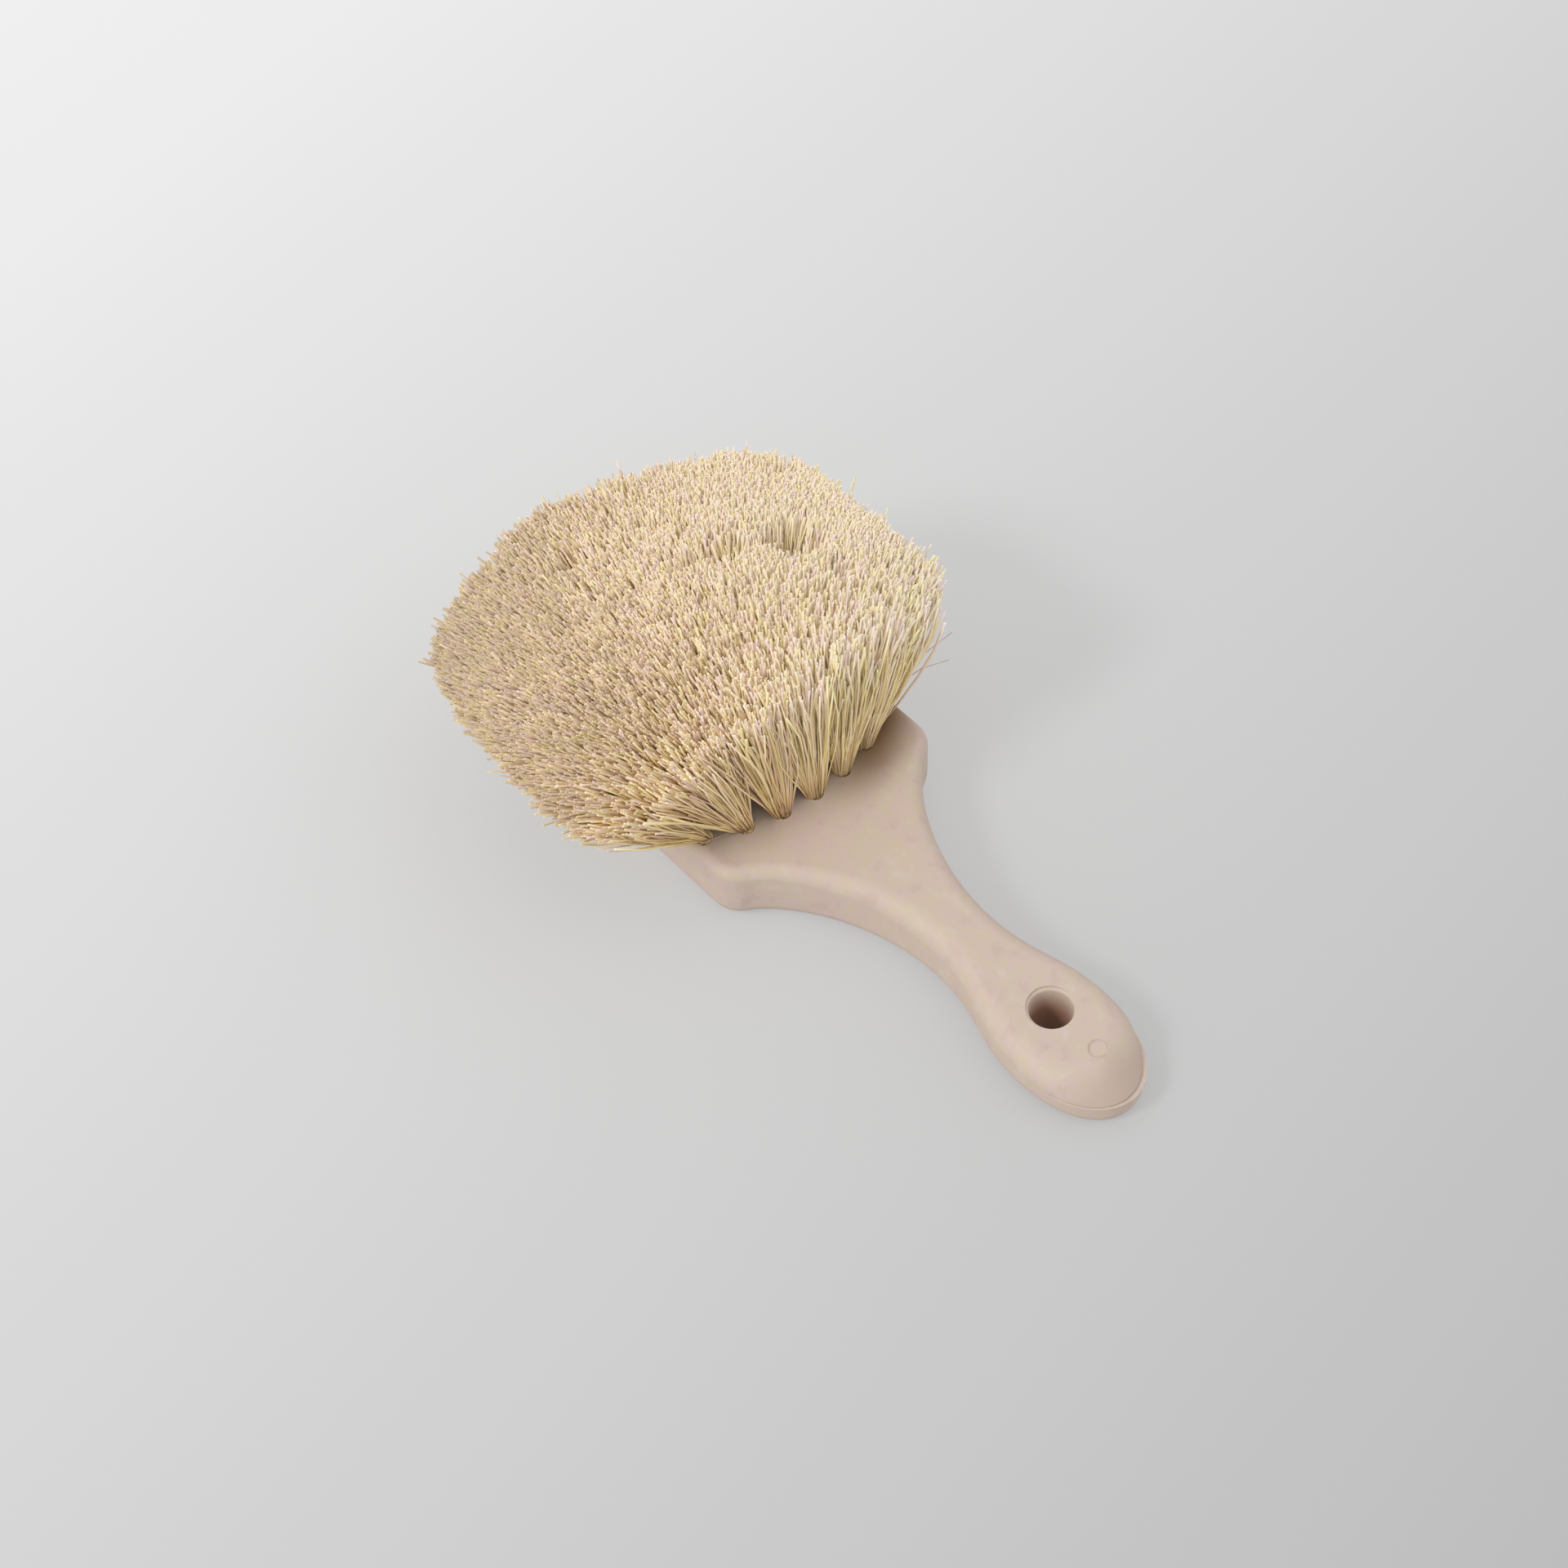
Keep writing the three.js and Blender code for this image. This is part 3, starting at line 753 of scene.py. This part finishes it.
def painted_hole_shade(tree, coordinate, place):
    """Share of the painted shade, a dark brown that deepens further down in the hanging hole."""
    flat = vector_reckon(tree, "MULTIPLY", coordinate, (1, 1, 0))["Vector"]
    apart = vector_reckon(tree, "DISTANCE", flat, (HANG_X * MM, 0, 0))["Value"]
    inside = reckon(tree, "LESS_THAN", apart, (HANG_R + HOLE_SHADE_ROOM) * MM)
    return reckon(tree, "MULTIPLY", inside, faded_over(tree, place["Z"], HOLE_SHADE_DEPTH, "LINEAR"))


def grain(tree, coordinate):
    bump = tree.nodes.new("ShaderNodeBump")
    feed(tree, bump.inputs["Strength"], GRAIN_STRENGTH)
    feed(tree, bump.inputs["Distance"], GRAIN_DISTANCE * MM)
    feed(tree, bump.inputs["Height"], noise(tree, GRAIN_SCALE, GRAIN_DETAIL, coordinate))
    return bump.outputs["Normal"]


def plastic_material():
    mat, tree, bsdf = material("tan_plastic")
    coordinate = object_place(tree)
    place = split(tree, coordinate)
    colour = colour_ramp(tree, noise(tree, CLOUD_SCALE, CLOUD_DETAIL, coordinate), CLOUDS)
    # painted shadow on the face before the right end of the near row
    colour = mixed(tree, painted_shadow(tree, place), colour, srgb(*PAINTED_SHADOW))
    # painted shade, darker over the rounded end of the handle
    colour = mixed(tree, painted_end_shade(tree, place), colour, srgb(*END_SHADE))
    # painted shade, dark brown deeper in the hanging hole
    colour = mixed(tree, painted_hole_shade(tree, coordinate, place), colour, srgb(*HOLE_SHADE))
    feed(tree, bsdf.inputs["Base Color"], colour)
    feed(tree, bsdf.inputs["Normal"], grain(tree, coordinate))
    feed(tree, bsdf.inputs["Roughness"], PLASTIC_ROUGHNESS)
    feed(tree, bsdf.inputs["Specular IOR Level"], PLASTIC_SPECULAR)
    return mat


# Fibre: each has its own tone and hue, straw along its length and paler at its cut end, and darker towards
# its root, partly dust and partly painted shade deep in the mat
STRAW = ((0, (213, 195, 164)), (0.4, (247, 229, 188)), (1, (255, 249, 218)))
PALE = ((0, (210, 196, 170)), (0.25, (226, 209, 175)), (0.5, (248, 233, 204)),
        (0.65, (255, 243, 212)), (1, (255, 249, 227)))
ROOT_TO_TIP = ((0, (246, 230, 206)), (0.3, (255, 250, 235)),
               (0.8, (255, 252, 243)), (0.97, (255, 255, 255)))
CUT_END = (0.84, 1.0)
ROSY, YELLOW, GOLDEN = (1.06, 0.95, 1.15, 1), (1.06, 1.03, 0.8, 1), 0.618034
FIBRE_ROUGHNESS, FIBRE_SPECULAR = 0.7, 0.15


def fibre_hue(tree, tone):
    """A hue between rosy and yellow, by chance from the column of the tone."""
    column = reckon(tree, "FLOOR", reckon(tree, "MULTIPLY", tone, COLUMNS))
    chance = reckon(tree, "FRACT", reckon(tree, "MULTIPLY", column, GOLDEN))
    return mixed(tree, chance, ROSY, YELLOW)


def fibre_material():
    mat, tree, bsdf = material("cream_fibre")
    uv = tree.nodes.new("ShaderNodeUVMap")
    uv.uv_map = "OFBake"
    place = split(tree, uv.outputs["UV"])
    tone, along = place["X"], place["Y"]
    straw, pale = colour_ramp(tree, tone, STRAW), colour_ramp(tree, tone, PALE)
    colour = mixed(tree, faded(tree, along, *CUT_END), straw, pale)
    # darker towards the root: partly dust, partly painted shade deep in the mat
    colour = mixed(tree, 1.0, colour, colour_ramp(tree, along, ROOT_TO_TIP), "MULTIPLY")
    colour = mixed(tree, 1.0, colour, fibre_hue(tree, tone), "MULTIPLY")
    feed(tree, bsdf.inputs["Base Color"], colour)
    feed(tree, bsdf.inputs["Roughness"], FIBRE_ROUGHNESS)
    feed(tree, bsdf.inputs["Specular IOR Level"], FIBRE_SPECULAR)
    return mat


# Wire of the anchors
WIRE = ((0, (165, 168, 172)), (1, (195, 198, 202)))
WIRE_SCALE, WIRE_DETAIL, WIRE_ROUGHNESS = 800, 2, 0.4


def wire_material():
    mat, tree, bsdf = material("anchor_wire")
    feed(tree, bsdf.inputs["Base Color"], colour_ramp(tree, noise(tree, WIRE_SCALE, WIRE_DETAIL), WIRE))
    feed(tree, bsdf.inputs["Metallic"], 1.0)
    feed(tree, bsdf.inputs["Roughness"], WIRE_ROUGHNESS)
    return mat


# Floor, whose grey falls off along one line, as the photograph's backdrop does. Its size is in metres.
FLOOR_HALF, FALL, FALL_SCALE, FALL_SHIFT = 12, (1.444, 0.272, 0), 0.25, 0.2425
GREYS = ((0.0, 246), (0.125, 234), (0.25, 211), (0.375, 183),
         (0.45, 173), (0.55, 172), (0.75, 184), (1.0, 205))
FLOOR_GLOW = 0.55


def floor_material():
    """A dull grey that also glows a little where the camera or a reflection sees it."""
    mat, tree, bsdf = material("floor_grey")
    along = vector_reckon(tree, "DOT_PRODUCT", object_place(tree), FALL)["Value"]
    along = reckon(tree, "MULTIPLY_ADD", along, FALL_SCALE, FALL_SHIFT)
    colour = colour_ramp(tree, along, [(at, (grey, grey, grey)) for at, grey in GREYS])
    feed(tree, bsdf.inputs["Base Color"], colour)
    feed(tree, bsdf.inputs["Roughness"], 1.0)
    feed(tree, bsdf.inputs["Specular IOR Level"], 0.0)
    glow = tree.nodes.new("ShaderNodeEmission")
    feed(tree, glow.inputs["Color"], colour)
    rays = tree.nodes.new("ShaderNodeLightPath").outputs
    seen = reckon(tree, "MAXIMUM", rays["Is Camera Ray"], rays["Is Glossy Ray"])
    blend = tree.nodes.new("ShaderNodeMixShader")
    feed(tree, blend.inputs["Fac"], reckon(tree, "MULTIPLY", seen, FLOOR_GLOW))
    feed(tree, blend.inputs[1], bsdf.outputs["BSDF"])
    feed(tree, blend.inputs[2], glow.outputs["Emission"])
    feed(tree, tree.nodes["Material Output"].inputs["Surface"], blend.outputs["Shader"])
    return mat


def add_floor():
    h = FLOOR_HALF
    floor = mesh_object("floor", [(-h, -h, 0), (h, -h, 0), (h, h, 0), (-h, h, 0)], [(0, 1, 2, 3)], False)
    floor.data.materials.append(floor_material())


# Camera: turn from -Y towards +X, height and roll in degrees, the point that it aims at, and that point's
# place in the photograph, in pixels
TURN, ELEVATION, ROLL = (math.radians(v) for v in (49.1, 52.5, 0.8))
AIM, DISTANCE, PIXELS_PER_MM = (39.7, 0, 10.4), 899.0, 4.42
AIM_PX, PHOTO_PX, SENSOR = (1000.4, 995.4), 1920, 36.0


def add_camera():
    right = Vector((math.cos(TURN), math.sin(TURN), 0))
    level = math.cos(ELEVATION)
    back = Vector((math.sin(TURN) * level, -math.cos(TURN) * level, math.sin(ELEVATION)))
    up = back.cross(right)
    cam_right = right * math.cos(ROLL) - up * math.sin(ROLL)
    cam_up = right * math.sin(ROLL) + up * math.cos(ROLL)
    place = Vector(AIM) * MM + back * DISTANCE * MM
    optics = bpy.data.cameras.new("camera")
    optics.sensor_width = SENSOR
    optics.lens = SENSOR * PIXELS_PER_MM * DISTANCE / PHOTO_PX
    optics.shift_x = -(AIM_PX[0] - PHOTO_PX / 2) / PHOTO_PX
    optics.shift_y = (AIM_PX[1] - PHOTO_PX / 2) / PHOTO_PX
    camera = bpy.data.objects.new("camera", optics)
    columns = (*cam_right, 0), (*cam_up, 0), (*back, 0), (*place, 1)
    camera.matrix_world = Matrix(columns).transposed()
    bpy.context.scene.collection.objects.link(camera)
    bpy.context.scene.camera = camera


# Light: a plain white world and three far soft lamps, whose directions are the azimuth from -Y towards +X
# and the elevation in degrees
WORLD_STRENGTH = 0.785
KEY, KEY_STRENGTH, KEY_SPREAD = (-12, 42), 0.94, 14
RIGHT_FILL, RIGHT_STRENGTH, RIGHT_SPREAD = (135, 42), 0.25, 60
LOW_FILL, LOW_STRENGTH, LOW_SPREAD = (-8, 16), 0.22, 40


def add_world():
    world = bpy.data.worlds.new("studio")
    world.use_nodes = True
    background = world.node_tree.nodes["Background"]
    background.inputs["Color"].default_value = (1, 1, 1, 1)
    background.inputs["Strength"].default_value = WORLD_STRENGTH
    bpy.context.scene.world = world


def add_sun(name, direction, strength, spread):
    """A far soft lamp that shines from the direction given."""
    a, e = (math.radians(v) for v in direction)
    towards = Vector((math.sin(a) * math.cos(e), -math.cos(a) * math.cos(e), math.sin(e)))
    light = bpy.data.lights.new(name, "SUN")
    light.energy, light.angle = strength, math.radians(spread)
    obj = bpy.data.objects.new(name, light)
    obj.rotation_euler = towards.to_track_quat("Z", "Y").to_euler()
    bpy.context.scene.collection.objects.link(obj)


# The model

block = build_block()
fibre_pieces = build_fibres()
plastic, fibre, wire = plastic_material(), fibre_material(), wire_material()
block.data.materials.clear()
block.data.materials.append(plastic)
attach(block, "root")
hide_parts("block")
for piece, node in fibre_pieces:
    piece.data.materials.append(fibre)
    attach(piece, "root")
    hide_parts(node)
for name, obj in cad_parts.items():
    if name.startswith("anchor"):
        obj.data.materials.clear()
        obj.data.materials.append(wire)

add_camera()
add_floor()
add_world()
add_sun("key", KEY, KEY_STRENGTH, KEY_SPREAD)
add_sun("right_fill", RIGHT_FILL, RIGHT_STRENGTH, RIGHT_SPREAD)
add_sun("low_fill", LOW_FILL, LOW_STRENGTH, LOW_SPREAD)
bpy.context.scene.view_settings.view_transform = "Standard"

bpy.context.view_layer.update()
